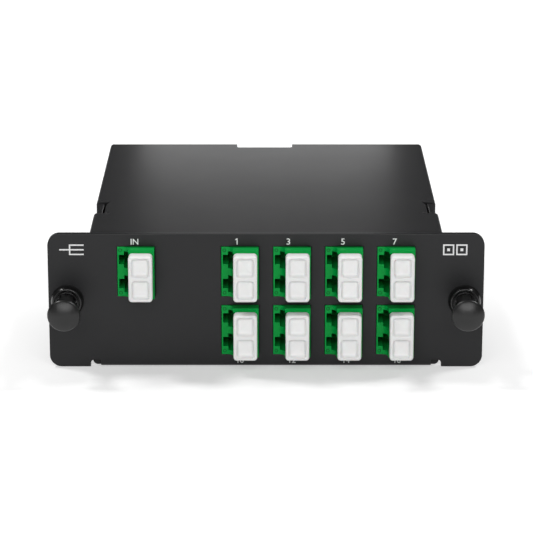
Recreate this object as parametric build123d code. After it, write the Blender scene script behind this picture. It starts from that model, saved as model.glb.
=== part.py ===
from build123d import *
import math
import os

# Rack cassette that splits one optical fibre into sixteen, with angled-contact duplex ports.
# It is laid out from its front panel: X to the right, Y from the panel's front face to the
# rear, Z up from the underside. Each piece is moved to the centre of the base when written.
# Lengths are in millimetres.

# Tray: front panel, base, side walls and rear wall folded from one steel sheet
PANEL_W = 109.2
PANEL_CORNER_R = 3.0
EAR_W = 10.05
ROWS = 2
ROW_PITCH = 15.3
ROW_MARGIN = 2.1
BOX_DEPTH = 98.9
SHEET = 1.5
BEND_OUT_R = 1.2
BEND_IN_R = 0.2
NOTCH_W = 2.6
NOTCH_H = 1.8
NOTCH_R = 1.0
FOLD_GAP = 0.4

# Cover: a thinner sheet over the top, with a flange down each side
COVER_SHEET = 0.7
COVER_DROP = 1.2
COVER_BEND_R = 0.9
COVER_CORNER_R = 1.0
COVER_FLANGE_H = 12.0
COVER_FIT = 0.05
COVER_FRONT_GAP = 0.3
TAB_Y = 24.3
TAB_L = 8.2
TAB_NOTCH_L = 11.8
TAB_NOTCH_IN = 2.05
TAB_NOTCH_TAPER = 3.4
TAB_NOTCH_FLARE = 1.0
PIN_HOLE_R = 0.45
REAR_NOTCH_W = 15.7
REAR_NOTCH_L = 3.7
REAR_NOTCH_R = 0.8
REAR_NOTCH_X = -0.4
REAR_WALL_DROP = 0.2

# Cover screws
SCREW_SHANK_R = 1.4
SCREW_LENGTH = 6.0
SCREW_HEAD_R = 2.5
SCREW_HEAD_H = COVER_SHEET
SCREW_CROSS = 2.4
SCREW_FIT = 0.1
SCREW_FROM_TOP = 6.5
SCREW_YS = (12.0, 80.0)

# Duplex adapters, each standing on its side with its two ports one above the other
ADAPTER_W = 9.3
ADAPTER_H = 12.85
ADAPTER_L = 28.0
ADAPTER_PROUD = 2.8
ADAPTER_FIT = 0.12
STOP_L = 1.4
STOP_RISE = 0.6
COLUMNS = 4
PLACES_IN_ROW = 6
END_PLACE_GAP = 9.8
PORT_PITCH = 6.25
PORT_SHIFT = 1.35
PORT = 4.8
MID_WALL = 2.0
LEDGE_W = 1.2
LEDGE_SCOOP_R = 1.7
LEDGE_FLUSH = 0.1
LATCH_SLOT_MARGIN = 0.37
LATCH_SLOT_W = 1.3
LATCH_SLOT_H = 2.45
LATCH_WINDOW_H = 4.4
LATCH_DEPTH = 12.0
BARREL_R = 1.25
BARREL_L = 7.6

# Split ceramic sleeves inside the adapters
SLEEVE_R = 0.84
SLEEVE_BORE_R = 0.67
SLEEVE_L = 6.8
SLEEVE_SLIT = 0.25
SLEEVE_FIT = 0.08

# Duplex dust caps
CAP_W = 5.95
CAP_H = 11.9
CAP_FRONT = 4.4
CAP_HEAD_L = 2.8
CAP_CORNER_R = 0.9
CAP_EDGE = 0.3
CAP_SEAT_GAP = 0.3
CAP_STEP = 0.5
CAP_RECESS_W = 4.0
CAP_RECESS_H = 4.3
CAP_RECESS_PITCH = 5.55
CAP_RECESS_L = 1.6
CAP_RECESS_CORNER = 0.5
STEM = 4.5
STEM_WALL = 0.7
STEM_L = 7.8

# Push-pull latches that hold the cassette in its frame
LATCH_INSET = 4.75
GROMMET_R = 4.15
GROMMET_FACE_R = 3.5
GROMMET_L = 2.2
GROMMET_SHANK_R = 3.1
GROMMET_BARB_R = 3.45
GROMMET_BARB_L = 3.0
GROMMET_TIP_R = 2.8
GROMMET_LEG_L = 8.0
GROMMET_SLIT = 0.9
GROMMET_HOLE_FIT = 0.1
PLUNGER_HEAD_R = 4.1
PLUNGER_HEAD_L = 2.9
PLUNGER_DOME_R = 3.4
PLUNGER_DOME_L = 0.7
PLUNGER_EDGE_L = 0.7
PLUNGER_RIM_L = 0.6
PLUNGER_OUT = 14.2
PLUNGER_NECK_R = 2.1
PLUNGER_FIT = 0.3

# Connectors plugged in behind the panel, with their boots and ferrules
PLUG = 4.5
PLUG_BACK = 5.2
PLUG_BACK_L = 7.4
PLUG_BORE = 3.0
PLUG_BORE_L = 4.0
PLUG_FRONT_GAP = 0.4
PLUG_CATCH = 0.7
PLUG_LEVER_W = 2.1
FERRULE_R = 0.625
FERRULE_FACE_GAP = 0.05
BOOT_R = 2.0
BOOT_TIP_R = 0.95
BOOT_L = 11.0

# Flat sides that stand for the round of the smallest pieces
SMALL_SIDES = 6
TAIL_SIDES = 4
BEND_CHORDS = 3

# Splitter module, its fan-out block and the tails
TAIL_R = 0.45
TAIL_PITCH = 1.2
TAIL_BEND_R = 14.0
TAIL_REAR_GAP = 1.6
MODULE_W = 7.0
MODULE_H = 4.0
MODULE_SIDE_GAP = 2.3
MODULE_Y = 14.0
FANOUT_L = 12.0
FANOUT_H = 6.6
FANOUT_BEVEL = 2.3
FANOUT_REAR_GAP = 2.2
INPUT_BEND_R = 8.5
INPUT_TURN_W = 15.2
INPUT_TURN_GAP = 4.0
INPUT_TURN_R = 7.2
CLIP_WALL = 1.0
CLIP_L = 6.0
CLIP_FOOT = 1.5
CLIP_SHARES = (0.2, 0.8)

# Places worked out from the sizes above
PANEL_H = ROWS * ROW_PITCH + 2 * ROW_MARGIN
COVER_W = PANEL_W - 2 * EAR_W
MID_Z = PANEL_H / 2
COVER_TOP = PANEL_H - COVER_DROP
COVER_UNDER = COVER_TOP - COVER_SHEET
TRAY_HALF = COVER_W / 2 - COVER_SHEET - COVER_FIT
BEND_HALF = TRAY_HALF - SHEET - BEND_IN_R - FOLD_GAP
LATCH_X = PANEL_W / 2 - LATCH_INSET
TOP_ROW = MID_Z + ROW_PITCH / 2
BOTTOM_ROW = MID_Z - ROW_PITCH / 2
LAST_COLUMN_X = TRAY_HALF - SHEET - END_PLACE_GAP
COLUMN_PITCH = 2 * LAST_COLUMN_X / (PLACES_IN_ROW - 1)
OUTPUT_XS = [LAST_COLUMN_X - i * COLUMN_PITCH for i in reversed(range(COLUMNS))]
INPUT_X = -LAST_COLUMN_X
ADAPTER_MID_Y = ADAPTER_L / 2 - ADAPTER_PROUD
ADAPTER_END_Y = ADAPTER_L - ADAPTER_PROUD
PLUG_END_Y = ADAPTER_END_Y + PLUG_BACK_L + PLUG_FRONT_GAP
BOOT_END_Y = PLUG_END_Y + BOOT_L
REAR_INNER_Y = BOX_DEPTH - SHEET
FIRST_LANE_Y = REAR_INNER_Y - TAIL_REAR_GAP - (COLUMNS - 1) * TAIL_PITCH
FANOUT_END_Y = FIRST_LANE_Y - TAIL_BEND_R - FANOUT_REAR_GAP
MODULE_L = FANOUT_END_Y - FANOUT_L - MODULE_Y
MODULE_X = -(TRAY_HALF - SHEET - MODULE_SIDE_GAP - MODULE_W / 2)


def block(x0, x1, y0, y1, z0, z1):
    """Square block between two corners."""
    return Pos((x0 + x1) / 2, (y0 + y1) / 2, (z0 + z1) / 2) * Box(x1 - x0, y1 - y0, z1 - z0)


def rod(radius, y0, y1, x=0.0, z=0.0):
    """Round rod along Y."""
    return Pos(x, (y0 + y1) / 2, z) * Rot(90, 0, 0) * Cylinder(radius, y1 - y0)


def facet_rod(radius, y0, y1, x=0.0, z=0.0):
    """Small rod along Y with flat sides, for the many little pieces inside."""
    return from_front(Pos(x, z) * RegularPolygon(radius, SMALL_SIDES), y0, y1)


def cross_rod(radius, x0, x1, y, z):
    """Round rod along X."""
    return Pos((x0 + x1) / 2, y, z) * Rot(0, 90, 0) * Cylinder(radius, x1 - x0)


def from_front(outline, y0, y1):
    """Outline drawn in X and Z, running from y0 to y1."""
    return extrude(Plane.XZ.offset(-y1) * outline, y1 - y0)


def from_side(outline, x0, x1):
    """Outline drawn in Y and Z, running from x0 to x1."""
    return extrude(Plane.YZ.offset(x0) * outline, x1 - x0)


def from_above(outline, z0, z1):
    """Outline drawn in X and Y, running from z0 to z1."""
    return extrude(Plane.XY.offset(z0) * outline, z1 - z0)


def turned(*points):
    """Profile of (radius, y) points turned round the Y axis."""
    return revolve(make_face(Polyline(*points, close=True)), Axis.Y)


def bent(points, bends):
    """Section of folded sheet: bends gives each rounded corner and its radius."""
    outline = make_face(Polyline(*points, close=True))
    for corner, radius in bends:
        outline = fillet(outline.vertices().sort_by_distance(corner)[0], radius)
    return outline


def adapter_places():
    """Name, centre X and centre Z of every duplex adapter."""
    places = [("in", INPUT_X, TOP_ROW)]
    for row, z in enumerate((TOP_ROW, BOTTOM_ROW)):
        for column, x in enumerate(OUTPUT_XS):
            first = 1 + 2 * (row * COLUMNS + column)
            places.append((f"{first}_{first + 1}", x, z))
    return places


def output_ports():
    """Number, column, row level, port X and port Z of every output."""
    ports = []
    for row, z in enumerate((TOP_ROW, BOTTOM_ROW)):
        for column, x in enumerate(OUTPUT_XS):
            for port in range(2):
                number = 1 + 2 * (row * COLUMNS + column) + port
                port_z = z + (0.5 - port) * PORT_PITCH
                ports.append((number, column, 2 * row + port, x + PORT_SHIFT, port_z))
    return ports


# Sheet metal

def panel_fold():
    """Section where the base bends up into the panel."""
    points = [(0, MID_Z), (0, 0), (BOX_DEPTH / 2, 0), (BOX_DEPTH / 2, SHEET), (SHEET, SHEET),
              (SHEET, MID_Z)]
    return bent(points, [((0, 0), BEND_OUT_R), ((SHEET, SHEET), BEND_IN_R)])


def rear_fold():
    """Section where the base bends up into the rear wall."""
    top = COVER_UNDER - REAR_WALL_DROP
    inner = REAR_INNER_Y
    points = [(BOX_DEPTH, top), (BOX_DEPTH, 0), (BOX_DEPTH / 2, 0), (BOX_DEPTH / 2, SHEET),
              (inner, SHEET), (inner, top)]
    return bent(points, [((BOX_DEPTH, 0), BEND_OUT_R), ((inner, SHEET), BEND_IN_R)])


def side_fold():
    """Section of the base with a wall bent up at each side."""
    out, inner = TRAY_HALF, TRAY_HALF - SHEET
    right = [(inner, SHEET), (inner, COVER_UNDER), (out, COVER_UNDER), (out, 0)]
    left = [(-x, z) for x, z in reversed(right)]
    bends = [((side * out, 0), BEND_OUT_R) for side in (-1, 1)]
    bends += [((side * inner, SHEET), BEND_IN_R) for side in (-1, 1)]
    return bent(right + left, bends)


def panel_plate():
    """Flat face plate, open along the stretch that bends back into the base."""
    plate = from_front(Pos(0, MID_Z) * RectangleRounded(PANEL_W, PANEL_H, PANEL_CORNER_R), 0, SHEET)
    mouth = BEND_HALF + NOTCH_W / 2
    return plate - block(-mouth, mouth, -1, SHEET + 1, -1, NOTCH_H)


def make_tray():
    wall_front = SHEET + FOLD_GAP
    sides = from_front(side_fold(), wall_front, BOX_DEPTH)
    sides -= block(-TRAY_HALF - 1, TRAY_HALF + 1, BOX_DEPTH - wall_front, BOX_DEPTH + 1, -1, NOTCH_H)
    tray = panel_plate() + from_side(panel_fold(), -BEND_HALF, BEND_HALF)
    tray += from_side(rear_fold(), -BEND_HALF, BEND_HALF) + sides
    notch = RectangleRounded(NOTCH_W, 2 * NOTCH_H, NOTCH_R)
    for side in (-1, 1):
        tray -= from_front(Pos(side * (BEND_HALF + NOTCH_W / 2), 0) * notch, -1, wall_front)
        wall = sorted((side * TRAY_HALF, side * (TRAY_HALF - SHEET)))
        tray += block(*wall, TAB_Y, TAB_Y + TAB_L, MID_Z, COVER_TOP)
        tray -= rod(GROMMET_SHANK_R + GROMMET_HOLE_FIT, -1, SHEET + 1, side * LATCH_X, MID_Z)
    window = Rectangle(ADAPTER_W + 2 * ADAPTER_FIT, ADAPTER_H + 2 * ADAPTER_FIT)
    for _, x, z in adapter_places():
        tray -= from_front(Pos(x, z) * window, -1, SHEET + 1)
    return tray - screw_cuts()


def tab_notch(side):
    """Cut in the cover's side where the tray's locating tab stands up."""
    inner = TRAY_HALF - TAB_NOTCH_IN
    rear = TAB_Y + TAB_NOTCH_L - COVER_FRONT_GAP
    front = TAB_Y - COVER_FRONT_GAP
    points = [(PANEL_W, front), (inner, front), (inner, rear - TAB_NOTCH_TAPER),
              (inner - TAB_NOTCH_FLARE, rear), (PANEL_W, rear)]
    outline = make_face(Polyline(*[(side * x, y) for x, y in points], close=True))
    return from_above(outline, 0, PANEL_H)


def make_cover():
    half, foot = COVER_W / 2, COVER_TOP - COVER_FLANGE_H
    right = [(half - COVER_SHEET, COVER_UNDER), (half - COVER_SHEET, foot), (half, foot), (half, COVER_TOP)]
    left = [(-x, z) for x, z in reversed(right)]
    bends = [((side * half, COVER_TOP), COVER_BEND_R) for side in (-1, 1)]
    cover = from_front(bent(right + left, bends), SHEET + COVER_FRONT_GAP, BOX_DEPTH)
    plan = RectangleRounded(COVER_W, 2 * BOX_DEPTH, COVER_CORNER_R)
    cover &= from_above(plan, 0, PANEL_H)
    rear_notch = RectangleRounded(REAR_NOTCH_W, 2 * REAR_NOTCH_L, REAR_NOTCH_R)
    cover -= from_above(Pos(REAR_NOTCH_X, BOX_DEPTH) * rear_notch, COVER_UNDER - 1, PANEL_H)
    for side in (-1, 1):
        cover -= tab_notch(side)
        pin = Circle(PIN_HOLE_R)
        cover -= from_above(Pos(side * (TRAY_HALF - 2 * SHEET), TAB_Y) * pin, COVER_UNDER - 1, PANEL_H)
    return cover - screw_cuts()


def sunk_head(fit):
    """Cone of a countersunk head, its axis along X and its flat face at x = 0."""
    place = Pos(-SCREW_HEAD_H / 2, 0, 0) * Rot(0, 90, 0)
    return place * Cone(SCREW_SHANK_R + fit, SCREW_HEAD_R + fit, SCREW_HEAD_H)


def cover_screw():
    """Countersunk screw, its axis along X and the flat face of its head at x = 0."""
    head = sunk_head(0)
    arm, slot, depth = SCREW_CROSS / 2, SCREW_CROSS / 8, SCREW_HEAD_H / 2
    head -= block(-depth, 1, -arm, arm, -slot, slot)
    head -= block(-depth, 1, -slot, slot, -arm, arm)
    return head + from_side(RegularPolygon(SCREW_SHANK_R, SMALL_SIDES), -SCREW_LENGTH, -SCREW_HEAD_H)


def screw_places():
    """Place of each cover screw, on the outside of the flange and turned to face outwards."""
    z = COVER_TOP - SCREW_FROM_TOP
    return [Pos(side * COVER_W / 2, y, z) * Rot(0, 0, turn)
            for side, turn in ((-1, 180), (1, 0)) for y in SCREW_YS]


def screw_cuts():
    """Clear hole with its countersink for each cover screw, through the flange and the wall."""
    shank = cross_rod(SCREW_SHANK_R + SCREW_FIT, -SCREW_LENGTH, 1, 0, 0)
    return [place * (shank + sunk_head(SCREW_FIT)) for place in screw_places()]


def make_screws():
    screw = cover_screw()
    return [place * screw for place in screw_places()]


# Duplex adapter

def adapter_outline():
    """Plan outline: the latch side is flush with the panel and scoops up to the port face."""
    left, right = -ADAPTER_W / 2, ADAPTER_W / 2
    flush, front = -LEDGE_FLUSH, -ADAPTER_PROUD
    ledge, scoop = left + LEDGE_W, LEDGE_SCOOP_R
    lines = Line((left, ADAPTER_END_Y), (left, flush)) + Line((left, flush), (ledge, flush))
    lines += CenterArc((ledge, flush - scoop), scoop, 90, -90)
    lines += Polyline((ledge + scoop, flush - scoop), (ledge + scoop, front), (right, front),
                      (right, ADAPTER_END_Y), (left, ADAPTER_END_Y))
    return make_face(lines)


def port_hollow(stepped):
    """Square port with its latch slot, which the front ones widen in a step, from y = 0 inwards."""
    depth = (ADAPTER_L - MID_WALL) / 2
    slot_in = -ADAPTER_W / 2 + LATCH_SLOT_MARGIN
    window_in = slot_in + LATCH_SLOT_W
    port_left = PORT_SHIFT - PORT / 2
    hollow = block(port_left, port_left + PORT, 0, depth, -PORT / 2, PORT / 2)
    hollow += block(slot_in, PORT_SHIFT, 0, LATCH_DEPTH, -LATCH_SLOT_H / 2, LATCH_SLOT_H / 2)
    if stepped:
        hollow += block(window_in, PORT_SHIFT, 0, LATCH_DEPTH, -LATCH_WINDOW_H / 2, LATCH_WINDOW_H / 2)
    return hollow


def make_adapter():
    body = from_above(adapter_outline(), -ADAPTER_H / 2, ADAPTER_H / 2)
    rise = ADAPTER_H / 2 + STOP_RISE
    body += block(-ADAPTER_W / 2, ADAPTER_W / 2, SHEET, SHEET + STOP_L, -rise, rise)
    for z in (-PORT_PITCH / 2, PORT_PITCH / 2):
        body -= Pos(0, -ADAPTER_PROUD, z) * port_hollow(True)
        body -= Pos(0, ADAPTER_END_Y, z) * mirror(port_hollow(False), Plane.XZ)
        ends = ADAPTER_MID_Y - BARREL_L / 2, ADAPTER_MID_Y + BARREL_L / 2
        body += facet_rod(BARREL_R, *ends, PORT_SHIFT, z)
        body -= facet_rod(SLEEVE_R + SLEEVE_FIT, *ends, PORT_SHIFT, z)
    return body


def make_sleeve():
    """Split alignment sleeve, centred on the origin."""
    sleeve = facet_rod(SLEEVE_R, -SLEEVE_L / 2, SLEEVE_L / 2)
    sleeve -= facet_rod(SLEEVE_BORE_R, -SLEEVE_L, SLEEVE_L)
    return sleeve - block(0, SLEEVE_R, -SLEEVE_L, SLEEVE_L, -SLEEVE_SLIT / 2, SLEEVE_SLIT / 2)


# Dust cap

def make_cap():
    """Duplex cap, placed from its adapter's centre."""
    seat = -ADAPTER_PROUD - CAP_SEAT_GAP
    neck = -ADAPTER_PROUD - CAP_FRONT + CAP_HEAD_L
    front = -ADAPTER_PROUD - CAP_FRONT
    cap = from_front(RectangleRounded(CAP_W, CAP_H, CAP_CORNER_R), front, neck)
    cap = chamfer(cap.faces().sort_by(Axis.Y)[0].edges(), CAP_EDGE)
    step = 2 * CAP_STEP
    cap += from_front(Rectangle(CAP_W - step, CAP_H - step), neck, seat)
    hollow = STEM - 2 * STEM_WALL
    recess = Rectangle(CAP_RECESS_W, CAP_RECESS_H)
    recess = chamfer(recess.vertices(), CAP_RECESS_CORNER)
    for side in (-1, 1):
        z = side * PORT_PITCH / 2
        end = seat + STEM_L
        cap += block(-STEM / 2, STEM / 2, seat, end, z - STEM / 2, z + STEM / 2)
        cap -= block(-hollow / 2, hollow / 2, seat, end, z - hollow / 2, z + hollow / 2)
        cap -= from_front(Pos(0, side * CAP_RECESS_PITCH / 2) * recess, front, front + CAP_RECESS_L)
    return cap


# Push-pull latch

def make_grommet():
    """Split nylon socket that snaps into the panel, its axis on the Y axis."""
    bore = PLUNGER_NECK_R + PLUNGER_FIT
    barb = SHEET + GROMMET_HOLE_FIT
    grommet = turned((bore, -GROMMET_L), (GROMMET_FACE_R, -GROMMET_L), (GROMMET_R, -GROMMET_L / 2),
                     (GROMMET_R, 0), (GROMMET_SHANK_R, 0), (GROMMET_SHANK_R, barb), (GROMMET_BARB_R, barb),
                     (GROMMET_BARB_R, barb + GROMMET_BARB_L), (GROMMET_TIP_R, barb + GROMMET_LEG_L),
                     (bore, barb + GROMMET_LEG_L))
    return grommet - block(-GROMMET_R, GROMMET_R, barb, PANEL_H, -GROMMET_SLIT / 2, GROMMET_SLIT / 2)


def make_plunger():
    """Knob and pin that slide in the grommet, drawn pulled out."""
    front = -PLUNGER_OUT
    crown = front + PLUNGER_DOME_L
    rim = crown + PLUNGER_EDGE_L
    return turned((0, front), (PLUNGER_DOME_R, crown), (PLUNGER_HEAD_R, rim),
                  (PLUNGER_HEAD_R, rim + PLUNGER_RIM_L), (PLUNGER_NECK_R, front + PLUNGER_HEAD_L),
                  (PLUNGER_NECK_R, GROMMET_LEG_L), (0, GROMMET_LEG_L))


# Connectors behind the panel

def make_plug():
    """Connector housing with its latch lever, its axis on the Y axis."""
    nose = ADAPTER_MID_Y + MID_WALL / 2 + PLUG_FRONT_GAP
    back = PLUG_END_Y - PLUG_BACK_L
    bore_end = nose + PLUG_BORE_L
    plug = block(-PLUG / 2, PLUG / 2, nose, back, -PLUG / 2, PLUG / 2)
    plug += block(-PLUG_BACK / 2, PLUG_BACK / 2, back, PLUG_END_Y, -PLUG_BACK / 2, PLUG_BACK / 2)
    plug -= block(-PLUG_BORE / 2, PLUG_BORE / 2, nose, bore_end, -PLUG_BORE / 2, PLUG_BORE / 2)
    top, t = -PLUG / 2, PLUG_CATCH
    hinge = nose + 1.0
    lever = make_face(Polyline((top, hinge), (top - t, hinge + t), (top - t, ADAPTER_END_Y - t),
                               (top - 3 * t, back + 2 * t), (top - 4 * t, PLUG_END_Y - t),
                               (top - 3 * t, PLUG_END_Y - t), (top - 2 * t, back + 2 * t),
                               (top, ADAPTER_END_Y - t), close=True))
    return plug + from_above(lever, -PLUG_LEVER_W / 2, PLUG_LEVER_W / 2)


def make_ferrule():
    start = ADAPTER_MID_Y + FERRULE_FACE_GAP
    end = ADAPTER_MID_Y + MID_WALL / 2 + PLUG_FRONT_GAP + PLUG_BORE_L
    return facet_rod(FERRULE_R, start, end)


def make_boot():
    """Strain relief that tapers from the plug to the tail, its axis on the Y axis."""
    sides = Plane.XZ.offset(-BOOT_END_Y) * RegularPolygon(BOOT_TIP_R, SMALL_SIDES)
    slope = math.degrees(math.atan2((BOOT_R - BOOT_TIP_R) * math.cos(math.pi / SMALL_SIDES), BOOT_L))
    return extrude(sides, BOOT_L, taper=-slope)


# Splitter module and fibres

def make_module():
    half = MODULE_W / 2
    body = block(MODULE_X - half, MODULE_X + half, MODULE_Y, MODULE_Y + MODULE_L, SHEET, SHEET + MODULE_H)
    return fillet(body.edges().filter_by(Axis.Y), COVER_BEND_R)


def make_fanout():
    half, start = MODULE_W / 2, MODULE_Y + MODULE_L
    body = block(MODULE_X - half, MODULE_X + half, start, FANOUT_END_Y, SHEET, SHEET + FANOUT_H)
    top = body.edges().filter_by(Axis.X).sort_by(Axis.Z)[-2:]
    return chamfer(top.sort_by(Axis.Y)[0], FANOUT_BEVEL)


def make_clip():
    """Saddle over the module, stuck to the base, its middle at y = 0."""
    half = MODULE_W / 2
    top = SHEET + MODULE_H
    out = half + CLIP_WALL
    clip = block(-out, out, -CLIP_L / 2, CLIP_L / 2, SHEET, top + CLIP_WALL)
    clip -= block(-half, half, -CLIP_L, CLIP_L, SHEET, top)
    return clip + block(out, out + CLIP_FOOT, -CLIP_L / 2, CLIP_L / 2, SHEET, SHEET + CLIP_WALL)


def swept_tail(points, radii):
    """Buffered fibre along straight runs, with short chords round each bend."""
    route = FilletPolyline(*points, radius=radii)
    stops = []
    for edge in route.edges():
        shares = [0] if edge.geom_type == GeomType.LINE else [i / BEND_CHORDS for i in range(BEND_CHORDS)]
        stops += [edge @ share for share in shares]
    path = Polyline(*stops, route @ 1)
    start = Plane(origin=path @ 0, z_dir=path % 0)
    return sweep(start * RegularPolygon(TAIL_R, TAIL_SIDES), path, transition=Transition.RIGHT)


def make_output_tails():
    """Tails that run back from the connectors, turn left along the rear wall and end in the fan-out."""
    tails = []
    for _, column, level, x, z in output_ports():
        nest = column - (COLUMNS - 1) / 2
        depth = FIRST_LANE_Y + column * TAIL_PITCH
        lane = MODULE_X - nest * TAIL_PITCH
        end_z = SHEET + FANOUT_H / 2 + (ROWS - 0.5 - level) * TAIL_PITCH
        points = [(x, BOOT_END_Y, z), (x, depth, z), (lane, depth, end_z), (lane, FANOUT_END_Y, end_z)]
        tails.append(swept_tail(points, [TAIL_BEND_R, TAIL_BEND_R]))
    return tails


def make_input_tail():
    """Tail from the input connector round to the front end of the module."""
    x, z = INPUT_X + PORT_SHIFT, TOP_ROW + PORT_PITCH / 2
    low = SHEET + MODULE_H / 2
    front = MODULE_Y - INPUT_BEND_R - TAIL_PITCH
    lane, turn_y = x + INPUT_TURN_W, FANOUT_END_Y - INPUT_TURN_GAP
    points = [(x, BOOT_END_Y, z), (x, turn_y, z), (lane, turn_y, z), (lane, front, low),
              (MODULE_X, front, low), (MODULE_X, MODULE_Y, low)]
    radii = [INPUT_TURN_R, INPUT_TURN_R, INPUT_BEND_R, INPUT_BEND_R]
    return swept_tail(points, radii)


def save(name, shape):
    """Write one piece, or a list of like pieces, moved to the centre of the base."""
    if isinstance(shape, list):
        shape = Compound(children=[solid for item in shape for solid in item.solids()])
    export_step(Pos(0, -BOX_DEPTH / 2, 0) * shape, f"parts/{name}.step")


def main():
    os.makedirs("parts", exist_ok=True)
    save("tray", make_tray())
    save("cover", make_cover())
    save("cover_screws", make_screws())
    for name, side in (("left", -1), ("right", 1)):
        place = Pos(side * LATCH_X, 0, MID_Z)
        save(f"latch_grommet_{name}", place * make_grommet())
        save(f"latch_plunger_{name}", place * make_plunger())
    adapter, cap, sleeve = make_adapter(), make_cap(), make_sleeve()
    sleeves = []
    for name, x, z in adapter_places():
        save(f"adapter_{name}", Pos(x, 0, z) * adapter)
        save(f"dust_cap_{name}", Pos(x + PORT_SHIFT, 0, z) * cap)
        for lift in (-PORT_PITCH / 2, PORT_PITCH / 2):
            sleeves.append(Pos(x + PORT_SHIFT, ADAPTER_MID_Y, z + lift) * sleeve)
    save("alignment_sleeves", sleeves)
    ports = [("in", INPUT_X + PORT_SHIFT, TOP_ROW + PORT_PITCH / 2)]
    ports += [(number, x, z) for number, _, _, x, z in output_ports()]
    plug, ferrule, boot = make_plug(), make_ferrule(), make_boot()
    for name, x, z in ports:
        save(f"connector_{name}", Pos(x, 0, z) * plug)
    save("connector_ferrules", [Pos(x, 0, z) * ferrule for _, x, z in ports])
    save("connector_boots", [Pos(x, 0, z) * boot for _, x, z in ports])
    save("splitter_module", make_module())
    save("fanout_block", make_fanout())
    clip_ys = [MODULE_Y + MODULE_L * share for share in CLIP_SHARES]
    save("module_clips", [Pos(MODULE_X, y, 0) * make_clip() for y in clip_ys])
    save("output_tails", make_output_tails())
    save("input_tail", make_input_tail())


main()
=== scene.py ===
import math

import bmesh
import bpy
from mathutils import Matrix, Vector


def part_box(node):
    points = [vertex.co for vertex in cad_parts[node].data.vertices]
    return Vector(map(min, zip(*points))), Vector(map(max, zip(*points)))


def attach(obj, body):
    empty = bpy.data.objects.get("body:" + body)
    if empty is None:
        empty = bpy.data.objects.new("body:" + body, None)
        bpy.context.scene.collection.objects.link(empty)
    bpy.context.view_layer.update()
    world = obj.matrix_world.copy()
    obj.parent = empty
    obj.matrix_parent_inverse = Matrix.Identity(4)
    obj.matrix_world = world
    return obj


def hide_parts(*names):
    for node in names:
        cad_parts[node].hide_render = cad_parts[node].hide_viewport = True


# Fibre splitter cassette, dressed for a product picture. The scene is in metres, in the frame of
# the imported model: X to the right, Y to the rear, Z up. MM turns a value in mm into metres.

MM = 0.001

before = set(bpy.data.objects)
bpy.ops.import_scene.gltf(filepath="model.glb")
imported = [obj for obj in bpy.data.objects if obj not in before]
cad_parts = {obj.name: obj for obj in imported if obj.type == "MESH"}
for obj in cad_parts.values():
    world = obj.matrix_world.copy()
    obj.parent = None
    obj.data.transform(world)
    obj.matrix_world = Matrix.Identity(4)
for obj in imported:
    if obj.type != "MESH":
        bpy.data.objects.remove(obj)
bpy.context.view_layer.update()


# Materials

def new_material(name):
    """Empty material, with a short way to add nodes to it and one to join them."""
    material = bpy.data.materials.new(name)
    material.use_nodes = True
    tree = material.node_tree
    tree.nodes.clear()

    def add(kind, **values):
        node = tree.nodes.new("ShaderNode" + kind)
        for key, value in values.items():
            setattr(node, key, value)
        return node

    def join(source, target):
        tree.links.new(source, target)

    return material, add, join


def span(add, join, value, low, high, start=0.0, end=1.0):
    """Value between start and end, spread over low to high."""
    node = add("MapRange")
    join(value, node.inputs["Value"])
    node.inputs["From Min"].default_value = start
    node.inputs["From Max"].default_value = end
    node.inputs["To Min"].default_value = low
    node.inputs["To Max"].default_value = high
    return node.outputs["Result"]


SLOW_SIZE = 14 * MM
FINE_DETAIL = 3.0
SLOW_DETAIL = 5.0
BEVEL_SAMPLES = 6
GRAIN_DEPTH = 0.05 * MM
SKIN_DEPTH = 0.6 * MM
EDGE_SEEN_FROM = 0.8
EDGE_SEEN_TO = 0.97
NOISE_LOW = 0.3
NOISE_HIGH = 0.7
PATCH_LEAST = 0.3
PATCH_MOST = 1.2
PATCH_FROM = 0.35
PATCH_TO = 0.65
# Default edge colour from the base colour, lighter both for wear and for a painted edge highlight.
WEAR_AND_HIGHLIGHT_GAIN = 2.2
WEAR_AND_HIGHLIGHT_LIFT = 0.02


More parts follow.
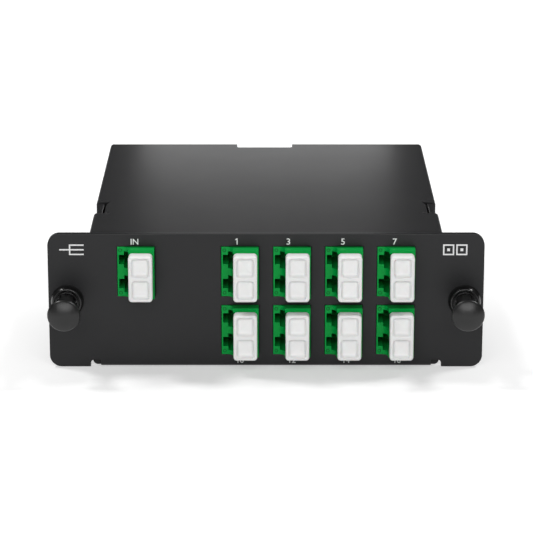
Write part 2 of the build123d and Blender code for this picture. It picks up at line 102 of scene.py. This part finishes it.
def finish(name, colour, roughness, grain=0.12, grain_size=0.35 * MM, mottle=0.06, edge_wear_and_highlight=0.15,
           worn_and_lit_colour=None, rounding=0.15 * MM, metallic=0.0, subsurface=0.0, gloss_change=0.03, specular=0.5):
    """Surface with fine grain, slow changes of shade and gloss, softened edges, and lighter edges that are
    wear on some finishes and a painted highlight on others.
    """
    material, add, join = new_material(name)
    place = add("TexCoord").outputs["Object"]
    fine, slow = add("TexNoise"), add("TexNoise")
    for noise, size, detail in ((fine, grain_size, FINE_DETAIL), (slow, SLOW_SIZE, SLOW_DETAIL)):
        join(place, noise.inputs["Vector"])
        noise.inputs["Scale"].default_value = 1 / size
        noise.inputs["Detail"].default_value = detail
    soft = add("Bevel", samples=BEVEL_SAMPLES)
    soft.inputs["Radius"].default_value = rounding
    bump = add("Bump")
    bump.inputs["Strength"].default_value = grain
    bump.inputs["Distance"].default_value = GRAIN_DEPTH
    join(fine.outputs["Fac"], bump.inputs["Height"])
    join(soft.outputs["Normal"], bump.inputs["Normal"])

    turn = add("VectorMath", operation="DOT_PRODUCT")
    join(soft.outputs["Normal"], turn.inputs[0])
    join(add("NewGeometry").outputs["Normal"], turn.inputs[1])
    # Lighter colour along edges: wear on some finishes, a painted highlight on the tray, cover and adapters.
    edge = span(add, join, turn.outputs["Value"], edge_wear_and_highlight, 0.0, EDGE_SEEN_FROM, EDGE_SEEN_TO)
    patchy = add("Math", operation="MULTIPLY")
    join(edge, patchy.inputs[0])
    join(span(add, join, slow.outputs["Fac"], PATCH_LEAST, PATCH_MOST, PATCH_FROM, PATCH_TO),
         patchy.inputs[1])

    shade = add("Mix", data_type="RGBA")
    join(span(add, join, slow.outputs["Fac"], 0.0, 1.0, NOISE_LOW, NOISE_HIGH), shade.inputs["Factor"])
    shade.inputs["A"].default_value = [c * (1 - mottle) for c in colour] + [1.0]
    shade.inputs["B"].default_value = [min(c * (1 + mottle), 1.0) for c in colour] + [1.0]
    # The edge colour is mixed in here, as painted highlight and wear.
    rubbed_and_lit = add("Mix", data_type="RGBA")
    join(patchy.outputs["Value"], rubbed_and_lit.inputs["Factor"])
    join(shade.outputs["Result"], rubbed_and_lit.inputs["A"])
    rubbed_and_lit.inputs["B"].default_value = list(
        worn_and_lit_colour or [min(c * WEAR_AND_HIGHLIGHT_GAIN + WEAR_AND_HIGHLIGHT_LIFT, 1.0) for c in colour]) + [1.0]

    shader = add("BsdfPrincipled")
    join(rubbed_and_lit.outputs["Result"], shader.inputs["Base Color"])
    join(span(add, join, slow.outputs["Fac"], roughness - gloss_change, roughness + gloss_change,
              NOISE_LOW, NOISE_HIGH), shader.inputs["Roughness"])
    shader.inputs["Metallic"].default_value = metallic
    shader.inputs["Specular IOR Level"].default_value = specular
    if subsurface:
        shader.inputs["Subsurface Weight"].default_value = subsurface
        shader.inputs["Subsurface Scale"].default_value = SKIN_DEPTH
    join(bump.outputs["Normal"], shader.inputs["Normal"])
    join(shader.outputs["BSDF"], add("OutputMaterial").inputs["Surface"])
    return material


# The tray's and cover's lighter edges are mostly a painted highlight along edges that catch the light, with
# a little wear.
TRAY_PAINT = finish("tray_powder_coat", (0.011, 0.011, 0.012), 0.38, grain=0.42, grain_size=0.22 * MM,
                    mottle=0.04, edge_wear_and_highlight=0.6, worn_and_lit_colour=(0.09, 0.09, 0.09), rounding=0.35 * MM, gloss_change=0.02,
                    specular=0.32)
COVER_PAINT = finish("cover_powder_coat", (0.016, 0.016, 0.017), 0.46, grain=0.3, grain_size=0.2 * MM,
                     mottle=0.03, edge_wear_and_highlight=0.4, rounding=0.3 * MM, gloss_change=0.01, specular=0.4)
KNOB_NYLON = finish("knob_nylon", (0.008, 0.008, 0.008), 0.36, grain=0.05, mottle=0.03, edge_wear_and_highlight=0.03,
                    specular=0.45)
BLACK_NYLON = finish("latch_nylon", (0.006, 0.006, 0.006), 0.22, grain=0.03, mottle=0.03, edge_wear_and_highlight=0.03,
                     specular=0.42)
# The adapters' bright green edges are a painted highlight for their lit top and bevelled edges, with some
# wear.
GREEN_PLASTIC = finish("adapter_green", (0.0, 0.33, 0.052), 0.34, grain=0.05, edge_wear_and_highlight=0.5,
                       worn_and_lit_colour=(0.005, 0.6, 0.13), specular=0.14)
# Darker green for the pin-mark rings: painted shade in the rings, not a colour of their own.
GREEN_SHADE = finish("adapter_pin_mark_shade", (0.0, 0.1, 0.02), 0.4, edge_wear_and_highlight=0.0, specular=0.14)
WHITE_PLASTIC = finish("cap_white", (0.88, 0.88, 0.875), 0.3, grain=0.04, mottle=0.01, edge_wear_and_highlight=0.0,
                       subsurface=0.05)
PLUG_GREEN = finish("connector_green", (0.003, 0.21, 0.05), 0.36, grain=0.08, specular=0.3)
CERAMIC = finish("zirconia", (0.78, 0.77, 0.73), 0.2, grain=0.03, mottle=0.02, edge_wear_and_highlight=0.0)
BOOT_RUBBER = finish("boot_rubber", (0.004, 0.19, 0.045), 0.55, grain=0.12)
STEEL = finish("module_steel", (0.56, 0.56, 0.55), 0.3, grain=0.1, metallic=1.0, edge_wear_and_highlight=0.3,
               worn_and_lit_colour=(0.7, 0.7, 0.69))
SCREW_STEEL = finish("screw_black_zinc", (0.03, 0.03, 0.033), 0.33, grain=0.06, metallic=0.6, edge_wear_and_highlight=0.4,
                     worn_and_lit_colour=(0.32, 0.31, 0.3))
DARK_PLASTIC = finish("fanout_plastic", (0.02, 0.02, 0.022), 0.42, grain=0.1)
CLIP_PLASTIC = finish("clip_plastic", (0.62, 0.62, 0.6), 0.45, grain=0.08, mottle=0.03)
TAIL_JACKET = finish("tail_jacket", (0.74, 0.74, 0.7), 0.42, grain=0.06, mottle=0.04)
WHITE_INK = finish("white_ink", (0.86, 0.86, 0.86), 0.5, grain=0.1, grain_size=0.12 * MM, mottle=0.04,
                   edge_wear_and_highlight=0.0, rounding=0.01 * MM)

PAINTS = {
    "tray": TRAY_PAINT,
    "cover": COVER_PAINT,
    "cover_screws": SCREW_STEEL,
    "latch_": BLACK_NYLON,
    "adapter_": GREEN_PLASTIC,
    "dust_cap_": WHITE_PLASTIC,
    "connector_": PLUG_GREEN,
    "alignment_sleeves": CERAMIC,
    "connector_ferrules": CERAMIC,
    "connector_boots": BOOT_RUBBER,
    "splitter_module": STEEL,
    "fanout_block": DARK_PLASTIC,
    "module_clips": CLIP_PLASTIC,
    "output_tails": TAIL_JACKET,
    "input_tail": TAIL_JACKET,
}


def paint(obj, material):
    obj.data.materials.clear()
    obj.data.materials.append(material)


def paint_nodes():
    """Give each node the paint of its own name, or of the longest start of it that is listed."""
    for name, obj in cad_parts.items():
        key = max((k for k in PAINTS if name.startswith(k)), key=len)
        paint(obj, PAINTS[key])


# Mesh helpers

WELD = 0.002 * MM
SMOOTH_ANGLE = math.radians(35)


def mesh_piece(name, build, material, body):
    """Object from a mesh that build fills in, riding on a body."""
    bm = bmesh.new()
    build(bm)
    bmesh.ops.remove_doubles(bm, verts=bm.verts, dist=WELD)
    bmesh.ops.recalc_face_normals(bm, faces=bm.faces)
    mesh = bpy.data.meshes.new(name)
    bm.to_mesh(mesh)
    bm.free()
    mesh.shade_smooth()
    mesh.set_sharp_from_angle(angle=SMOOTH_ANGLE)
    obj = bpy.data.objects.new(name, mesh)
    bpy.context.scene.collection.objects.link(obj)
    paint(obj, material)
    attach(obj, body)
    return obj


def add_rings(bm, rings, last=None, closed=True, skip=None):
    """Skin of quads over rings of equal length. last closes the far end with a fan to that point,
    and skip says of a ring and a step whether their quad is left out."""
    rows = [[bm.verts.new(point) for point in ring] for ring in rings]
    count = len(rows[0])
    steps = count if closed else count - 1
    for index, (one, two) in enumerate(zip(rows, rows[1:])):
        for i in range(steps):
            if skip and skip(index, i):
                continue
            j = (i + 1) % count
            bm.faces.new((one[i], one[j], two[j], two[i]))
    if last is not None:
        tip = bm.verts.new(last)
        for i in range(steps):
            bm.faces.new((rows[-1][i], rows[-1][(i + 1) % count], tip))
    return rows


def corner_loop(x0, x1, z0, z1, radii, y, steps=8):
    """Rectangle in X and Z at depth y; radii are those of its lower left, lower right, upper right
    and upper left corners."""
    centres = ((x0, z0, 1, 1), (x1, z0, -1, 1), (x1, z1, -1, -1), (x0, z1, 1, -1))
    points = []
    for corner, ((x, z, sx, sz), radius) in enumerate(zip(centres, radii)):
        for step in range(steps + 1):
            angle = math.radians(180 + 90 * corner + 90 * step / steps)
            points.append((x + sx * radius + radius * math.cos(angle), y,
                           z + sz * radius + radius * math.sin(angle)))
    return points


def bend_path(corners, steps=6):
    """Points along a profile of (radius, y, setback): each corner is rounded by its setback."""
    points = []
    for index, (r, y, setback) in enumerate(corners):
        here = Vector((r, y))
        if not setback or index in (0, len(corners) - 1):
            points.append(here)
            continue
        start = here + (Vector(corners[index - 1][:2]) - here).normalized() * setback
        end = here + (Vector(corners[index + 1][:2]) - here).normalized() * setback
        for step in range(steps + 1):
            t = step / steps
            points.append(start * (1 - t) ** 2 + here * 2 * t * (1 - t) + end * t ** 2)
    return points


def turn_profile(bm, profile, centre, start=0.0, end=360.0, steps=96):
    """Profile of (radius, y) points in mm turned round the Y axis through centre."""
    whole = end - start >= 360
    count = steps if whole else steps + 1
    rings = []
    for radius, y in profile:
        ring = []
        for step in range(count):
            angle = math.radians(start + (end - start) * step / steps)
            ring.append((centre[0] + radius * math.cos(angle) * MM, centre[1] + y * MM,
                         centre[2] + radius * math.sin(angle) * MM))
        rings.append(ring)
    return add_rings(bm, rings, closed=whole)


# Dust caps: each has a head with two recesses, a neck and two hollow stems

FIRST_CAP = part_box("dust_cap_in")
CAP_W, CAP_L, CAP_H = (FIRST_CAP[1] - FIRST_CAP[0]) / MM
CAP_EDGE = 0.45
CAP_CORNER = 0.85
HEAD_L = 2.8
SEAT = 4.1
NECK_STEP = 0.5
RECESS_W = 4.35
RECESS_H = 4.75
RECESS_PITCH = 5.7
RECESS_CORNER = 0.85
RECESS_LIP = 0.22
RECESS_DRAFT = 0.12
RECESS_L = 1.2
RECESS_FLOOR = 0.85
PORT_PITCH = 6.25
STEM = 4.5
STEM_WALL = 0.7
STEM_CORNER = 0.4
STEM_EDGE = 0.15
STEM_SUNK = 0.05
SMALLEST_CORNER = 0.1
ARC = [math.radians(angle) for angle in (0, 15, 30, 45, 60, 75, 90)]


def cap_half_loops(half_w, half_h):
    """Loops of the head's upper half in mm, from its rear edge round to the floor of the recess."""
    loops = [corner_loop(-half_w, half_w, 0, half_h, (0, 0, CAP_CORNER, CAP_CORNER), HEAD_L)]
    for a in ARC:
        inset = CAP_EDGE * (1 - math.cos(a))
        radius = CAP_CORNER - inset
        loops.append(corner_loop(-half_w + inset, half_w - inset, 0, half_h - inset,
                                 (0, 0, radius, radius), CAP_EDGE * (1 - math.sin(a))))
    outer = len(loops)
    low = RECESS_PITCH / 2 - RECESS_H / 2
    high = low + RECESS_H
    wide = RECESS_W / 2

    def recess(inset, depth):
        radius = RECESS_CORNER - inset
        return corner_loop(-wide + inset, wide - inset, low + inset, high - inset, [radius] * 4, depth)

    for a in ARC:
        loops.append(recess(-RECESS_LIP * (1 - math.sin(a)), RECESS_LIP * (1 - math.cos(a))))
    for a in ARC[:-1]:
        inset = RECESS_DRAFT + RECESS_FLOOR * (1 - math.cos(a))
        loops.append(recess(inset, RECESS_L - RECESS_FLOOR * (1 - math.sin(a))))
    return loops, outer


def add_tube(bm, centre, start, end, outer, inner):
    """Square hollow stem from start to end along Y, open at its far end."""
    x, z = centre

    def loop(half, radius, y):
        return corner_loop(x - half, x + half, z - half, z + half, [radius] * 4, y, 4)

    rings = [loop(outer, STEM_CORNER, start), loop(outer, STEM_CORNER, end - STEM_EDGE),
             loop(outer - STEM_EDGE, STEM_CORNER - STEM_EDGE, end), loop(inner, STEM_CORNER / 2, end),
             loop(inner, STEM_CORNER / 2, start)]
    add_rings(bm, rings, last=(x, start, z))


def build_cap(bm):
    """Cap in metres, its front at y = 0 and its middle on the Y axis."""
    half_w, half_h = CAP_W / 2, CAP_H / 2
    loops, outer = cap_half_loops(half_w, half_h)
    seam_end = 2 * (len(loops[0]) // 4 - 1)
    for side in (1, -1):
        rings = [[(x, y, side * z) for x, y, z in loop] for loop in loops]
        floor = (0, RECESS_L, side * RECESS_PITCH / 2)
        # The halves meet at z = 0, so the quads that would close that side are left out.
        add_rings(bm, rings, last=floor, skip=lambda ring, i: ring < outer - 1 and i <= seam_end)
    add_back(bm, half_w, half_h)
    for side in (-1, 1):
        add_tube(bm, (0, side * PORT_PITCH / 2), SEAT - STEM_SUNK, CAP_L, STEM / 2, STEM / 2 - STEM_WALL)
    for vert in bm.verts:
        vert.co = vert.co * MM


def add_back(bm, half_w, half_h):
    """Rear of the head, stepped in to the neck that seats on the adapter."""
    def loop(inset, y):
        radius = max(CAP_CORNER - inset, SMALLEST_CORNER)
        return corner_loop(-half_w + inset, half_w - inset, -half_h + inset, half_h - inset, [radius] * 4, y)

    add_rings(bm, [loop(0, HEAD_L), loop(NECK_STEP, HEAD_L), loop(NECK_STEP, SEAT)], last=(0, SEAT, 0))


def place_caps():
    for name in [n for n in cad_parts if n.startswith("dust_cap_")]:
        low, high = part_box(name)
        middle = (low + high) / 2
        port = name.removeprefix("dust_cap_")
        cap = mesh_piece("cap_form_" + port, build_cap, WHITE_PLASTIC, "cap_" + port)
        for vert in cap.data.vertices:
            vert.co += Vector((middle.x, low.y, middle.z))
        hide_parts(name)


# Push-pull latches: radii and depths from the front in mm, the legs by their turn in degrees

AXIS_R = 0.001
CROWN_R = 3.4
CROWN_L = 0.95
CROWN_STEPS = 10
KNOB_R = 4.1
KNOB_FRONT = 1.35
KNOB_FRONT_EDGE = 0.6
KNOB_REAR = 2.1
KNOB_EDGE = 0.3
ROD_R = 2.1
ROD_FRONT = 2.9
BORE_R = 2.4
GROOVE_IN_R = 2.8
GROOVE_OUT_R = 3.15
GROOVE_L = 0.8
GROOVE_LIP = 0.12
GROOVE_EDGE = 0.08
FLANGE_FACE_R = 3.6
FLANGE_FACE = 0.05
FLANGE_R = 4.15
FLANGE_EDGE = 1.2
FLANGE_L = 2.2
SHANK_R = 3.1
SHANK_END = 3.8
BARB_R = 3.45
BARB_FRONT = 3.85
BARB_REAR = 6.8
LEG_TIP_R = 2.8
LEG_FROM = 9
LEG_SWEEP = 162
LEG_STEPS = 48


def build_plunger(bm, centre, length):
    """Knob and rod in one turned profile, from the slight crown back to the end of the rod."""
    crown = [(AXIS_R + CROWN_R * i / CROWN_STEPS, CROWN_L * (i / CROWN_STEPS) ** 2)
             for i in range(CROWN_STEPS + 1)]
    profile = crown + bend_path([crown[-1] + (0,), (KNOB_R, KNOB_FRONT, KNOB_FRONT_EDGE),
                                 (KNOB_R, KNOB_REAR, KNOB_EDGE), (ROD_R, ROD_FRONT, KNOB_EDGE),
                                 (ROD_R, length, KNOB_EDGE), (AXIS_R, length, 0)])
    turn_profile(bm, profile, centre)


def build_grommet(bm, centre, length):
    """Rounded flange with a groove round its bore, then a barbed shank split into two legs."""
    front = bend_path([(BORE_R, SHANK_END, 0), (BORE_R, 0.0, 0.1), (GROOVE_IN_R, 0.0, GROOVE_LIP),
                       (GROOVE_IN_R, GROOVE_L, GROOVE_EDGE), (GROOVE_OUT_R, GROOVE_L, GROOVE_EDGE),
                       (GROOVE_OUT_R, FLANGE_FACE, GROOVE_LIP), (FLANGE_FACE_R, FLANGE_FACE, 0.3),
                       (FLANGE_R, FLANGE_EDGE, 0.6), (FLANGE_R, FLANGE_L, 0.1), (SHANK_R, FLANGE_L, 0.05),
                       (SHANK_R, SHANK_END, 0), (BORE_R, SHANK_END, 0)])
    turn_profile(bm, front, centre)
    legs = bend_path([(BORE_R, SHANK_END, 0), (SHANK_R, SHANK_END, 0), (BARB_R, BARB_FRONT, 0.15),
                      (BARB_R, BARB_REAR, 0.4), (LEG_TIP_R, length, 0.15), (BORE_R, length, 0),
                      (BORE_R, SHANK_END, 0)])
    for start in (LEG_FROM, LEG_FROM + 180):
        rows = turn_profile(bm, legs, centre, start, start + LEG_SWEEP, LEG_STEPS)
        for end in (0, -1):
            bm.faces.new([row[end] for row in rows[:-1]])


def place_latches():
    for side in ("left", "right"):
        for part, build, material in (("plunger", build_plunger, KNOB_NYLON),
                                      ("grommet", build_grommet, BLACK_NYLON)):
            node = f"latch_{part}_{side}"
            low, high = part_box(node)
            centre = ((low.x + high.x) / 2, low.y, (low.z + high.z) / 2)
            body = f"plunger_{side}" if part == "plunger" else "chassis"
            length = (high.y - low.y) / MM
            piece = mesh_piece(f"{part}_form_{side}", lambda bm: build(bm, centre, length), material,
                               body)
            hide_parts(node)


# Printed marks on the panel: places, heights and lines in mm, and shares of a figure's height

INK_PROUD = 0.02 * MM
PANEL_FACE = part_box("tray")[0].y
CAPITAL_SHARE = 0.7
STROKE_SPREAD = 0.02 * MM
MARK_LINE = 0.36
TOP_TEXT_Z = 32.05
FOOT_TEXT_Z = 0.95
LABEL_H = 1.5
TOP_FIGURE_H = 1.6
FOOT_FIGURE_H = 1.45
TOP_FIGURE_XS = (-7.2, 5.6, 19.2, 32.1)
FOOT_FIGURE_XS = (-6.1, 7.0, 20.7, 33.6)
LABEL_X = -32.8
FIRST_TOP_FIGURE = 1
FIRST_FOOT_FIGURE = 10
ONE_STROKE = 0.15
ONE_GAP = 0.68
FLAG_REACH = 0.3
FLAG_DROP = 0.17
FLAG_ROOT = 1.2


def letters(name, text, x, z, height):
    """Text on the panel's face, centred on x, standing on z."""
    curve = bpy.data.curves.new(name, "FONT")
    curve.body = text
    curve.align_x = "CENTER"
    curve.size = height / CAPITAL_SHARE
    curve.offset = STROKE_SPREAD
    curve.extrude = INK_PROUD / 2
    source = bpy.data.objects.new(name + "_curve", curve)
    mesh = bpy.data.meshes.new_from_object(source)
    bpy.data.objects.remove(source)
    obj = bpy.data.objects.new(name, mesh)
    bpy.context.scene.collection.objects.link(obj)
    for vert in mesh.vertices:
        vert.co = Vector((vert.co.x + x, PANEL_FACE - INK_PROUD / 2 - vert.co.z, vert.co.y + z))
    paint(obj, WHITE_INK)
    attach(obj, "chassis")


def bar(bm, *sides):
    """Flat printed bar between its left, right, lower and upper sides in mm."""
    x0, x1, z0, z1 = [side * MM for side in sides]
    y0, y1 = PANEL_FACE - INK_PROUD, PANEL_FACE
    ring0 = [(x0, y0, z0), (x1, y0, z0), (x1, y0, z1), (x0, y0, z1)]
    ring1 = [(x, y1, z) for x, _, z in ring0]
    rows = add_rings(bm, [ring0, ring1])
    bm.faces.new(rows[0])
    bm.faces.new(rows[1])


def build_fork(bm):
    """One line that branches into three, for one input and many outputs."""
    left, top, pitch, split, reach = -51.6, 31.9, 1.2, 2.4, 6.1
    line = MARK_LINE
    middle = top - pitch
    bar(bm, left, left + split, middle - line / 2, middle + line / 2)
    bar(bm, left + split, left + split + line, middle - pitch - line / 2, top + line / 2)
    for branch in range(3):
        z = top - branch * pitch
        bar(bm, left + split + line, left + reach, z - line / 2, z + line / 2)


def build_ports(bm):
    """Two square outlines side by side with a dot in each, for a duplex port."""
    left, low, size, gap = 44.2, 29.3, 2.8, 0.5
    line = MARK_LINE
    for x in (left, left + size + gap):
        bar(bm, x, x + size, low, low + line)
        bar(bm, x, x + size, low + size - line, low + size)
        bar(bm, x, x + line, low + line, low + size - line)
        bar(bm, x + size - line, x + size, low + line, low + size - line)
        bar(bm, x + size / 2 - line, x + size / 2 + line, low + size / 2 - line, low + size / 2 + line)


def build_one(bm, x, z, height):
    """Figure one: an upright with a flag at its top left."""
    line = ONE_STROKE * height
    bar(bm, x - line / 2, x + line / 2, z, z + height)
    tip, drop = x - FLAG_REACH * height, FLAG_DROP * height
    corners = [(x - line / 2, z + height), (x - line / 2, z + height - line * FLAG_ROOT),
               (tip, z + height - drop - line), (tip, z + height - drop)]
    near = [bm.verts.new((cx * MM, PANEL_FACE - INK_PROUD, cz * MM)) for cx, cz in corners]
    bm.faces.new(near)


def number(text, x, z, height):
    """Number on the panel, with x the middle of its last figure, or of the one if it stands alone."""
    rest = text.removeprefix("1")
    if rest != text:
        one_x = x - (ONE_GAP * height if rest else 0)
        mesh_piece(f"mark_{text}_one", lambda bm: build_one(bm, one_x, z, height), WHITE_INK, "chassis")
    if rest:
        letters(f"mark_{text}", rest, x * MM, z * MM, height * MM)


def print_panel():
    letters("mark_in", "IN", LABEL_X * MM, TOP_TEXT_Z * MM, LABEL_H * MM)
    for column, x in enumerate(TOP_FIGURE_XS):
        number(str(2 * column + FIRST_TOP_FIGURE), x, TOP_TEXT_Z, TOP_FIGURE_H)
    for column, x in enumerate(FOOT_FIGURE_XS):
        number(str(2 * column + FIRST_FOOT_FIGURE), x, FOOT_TEXT_Z, FOOT_FIGURE_H)
    mesh_piece("mark_fork", build_fork, WHITE_INK, "chassis")
    mesh_piece("mark_ports", build_ports, WHITE_INK, "chassis")


# Moulding marks: a small ring by each end of every adapter's latch ledge, in darker green as painted shade

LEDGE_PROUD = 0.1 * MM
RING_FROM_SIDE = 0.75
RING_FROM_MIDDLE = 5.55
RING_TURN = 15
RING_SECTION = ((0.46, 0.0), (0.44, -0.012), (0.3, -0.012), (0.28, 0.0))


def build_ring(bm, x, z):
    """Thin flat ring on the ledge, which is nearly flush with the panel."""
    y = (PANEL_FACE - LEDGE_PROUD) / MM
    rings = []
    for radius, lift in RING_SECTION:
        rings.append([((x + radius * math.cos(math.radians(a))) * MM, (y + lift) * MM,
                       (z + radius * math.sin(math.radians(a))) * MM) for a in range(0, 360, RING_TURN)])
    add_rings(bm, rings)


def mark_adapters():
    for name in [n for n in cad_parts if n.startswith("adapter_")]:
        low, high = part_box(name)
        x, middle = low.x / MM + RING_FROM_SIDE, (low.z + high.z) / 2 / MM

        def build(bm):
            for lift in (-RING_FROM_MIDDLE, RING_FROM_MIDDLE):
                build_ring(bm, x, middle + lift)

        mesh_piece("pin_marks_" + name.removeprefix("adapter_"), build, GREEN_SHADE, "chassis")


# Floor, lights and camera

FLOOR_COLOUR = (0.64, 0.64, 0.64, 1)
LIFT_NEAR = 0.38
LIFT_FAR = 0.66
SHADE_MIDDLE = (0.0, -0.055, 0.0)
SHADE_HALF = (0.03, 0.006, 1.0)
SHADE_REACH = 0.07
DISTANT_LIFT = 0.34
DISTANT_FROM = 0.35
DISTANT_TO = 1.0
WORLD_LIGHT = 0.08
FLOOR_SIZE = 6.0
FLOOR_DROP = 0.2 * MM
CAMERA_PLACE = (0.00013, -0.65664, 0.20620)
CAMERA_TILT = math.radians(73.5)
CAMERA_SENSOR = 36.0
CAMERA_LENS = 171.0


def vector_step(add, join, operation, value, other=None):
    """Vector worked out from value, and from a fixed other where the operation takes two."""
    node = add("VectorMath", operation=operation)
    join(value, node.inputs[0])
    if other:
        node.inputs[1].default_value = other
    return node.outputs["Value" if operation == "LENGTH" else "Vector"]


def make_floor():
    """Pale floor. What a camera or a shiny surface sees of it is lifted towards white: least along the foot
    of the panel, where this leaves a painted shadow on top of the object's own, and most far away."""
    bpy.ops.mesh.primitive_plane_add(size=FLOOR_SIZE, location=(0, 0, -FLOOR_DROP))
    floor = bpy.context.object
    floor.name = "floor"
    material, add, join = new_material("floor")
    diffuse = add("BsdfDiffuse")
    diffuse.inputs["Color"].default_value = FLOOR_COLOUR
    seen = add("LightPath")
    mask = seen.outputs["Is Camera Ray"]
    for other in ("Is Glossy Ray", "Is Transmission Ray"):
        either = add("Math", operation="MAXIMUM")
        join(mask, either.inputs[0])
        join(seen.outputs[other], either.inputs[1])
        mask = either.outputs["Value"]
    away = add("TexCoord").outputs["Object"]
    for operation, other in (("SUBTRACT", SHADE_MIDDLE), ("ABSOLUTE", None), ("SUBTRACT", SHADE_HALF),
                             ("MAXIMUM", (0, 0, 0)), ("LENGTH", None)):
        away = vector_step(add, join, operation, away, other)
    # Less lift near the foot of the panel: a painted shadow, seen by the camera and reflected in shiny
    # parts.
    rise = add("Math", operation="ADD")
    join(span(add, join, away, LIFT_NEAR, LIFT_FAR, 0.0, SHADE_REACH), rise.inputs[0])
    join(span(add, join, away, 0.0, DISTANT_LIFT, DISTANT_FROM, DISTANT_TO), rise.inputs[1])
    lift = add("Math", operation="MULTIPLY")
    join(mask, lift.inputs[0])
    join(rise.outputs["Value"], lift.inputs[1])
    glow = add("Emission")
    join(lift.outputs["Value"], glow.inputs["Strength"])
    total = add("AddShader")
    join(diffuse.outputs["BSDF"], total.inputs[0])
    join(glow.outputs["Emission"], total.inputs[1])
    join(total.outputs["Shader"], add("OutputMaterial").inputs["Surface"])
    paint(floor, material)


def make_world():
    """Even surroundings that give faint white light."""
    world = bpy.data.worlds.new("surroundings")
    bpy.context.scene.world = world
    world.use_nodes = True
    back = world.node_tree.nodes["Background"]
    back.inputs["Color"].default_value = (1, 1, 1, 1)
    back.inputs["Strength"].default_value = WORLD_LIGHT


def soft_box(name, place, target, width, height, power):
    """Rectangular lamp that faces a point and isn't seen by the camera."""
    lamp = bpy.data.lights.new(name, "AREA")
    lamp.shape = "RECTANGLE"
    lamp.size, lamp.size_y = width, height
    lamp.energy = power
    obj = bpy.data.objects.new(name, lamp)
    obj.location = place
    obj.rotation_euler = (Vector(target) - Vector(place)).to_track_quat("-Z", "Y").to_euler()
    obj.visible_camera = False
    bpy.context.scene.collection.objects.link(obj)


def make_lights():
    soft_box("top_left", (-0.48, 0.12, 0.78), (0, 0, 0), width=0.15, height=0.15, power=3.2)
    soft_box("top_right", (0.52, 0.14, 0.74), (0, 0, 0), width=0.15, height=0.15, power=2.8)
    soft_box("front", (0.0, -0.86, 0.46), (0, 0, 0.02), width=1.0, height=0.45, power=5.9)
    soft_box("rear", (0.0, 0.086, 0.049), (0, 0, 0.035), width=0.075, height=0.015, power=0.0075)


def make_camera():
    camera = bpy.data.objects.new("camera", bpy.data.cameras.new("camera"))
    camera.location = CAMERA_PLACE
    camera.rotation_euler = (CAMERA_TILT, 0, 0)
    camera.data.sensor_width = CAMERA_SENSOR
    camera.data.lens = CAMERA_LENS
    bpy.context.scene.collection.objects.link(camera)
    bpy.context.scene.camera = camera


paint_nodes()
place_caps()
place_latches()
print_panel()
mark_adapters()
make_floor()
make_world()
make_lights()
make_camera()
bpy.context.scene.view_settings.view_transform = "Standard"
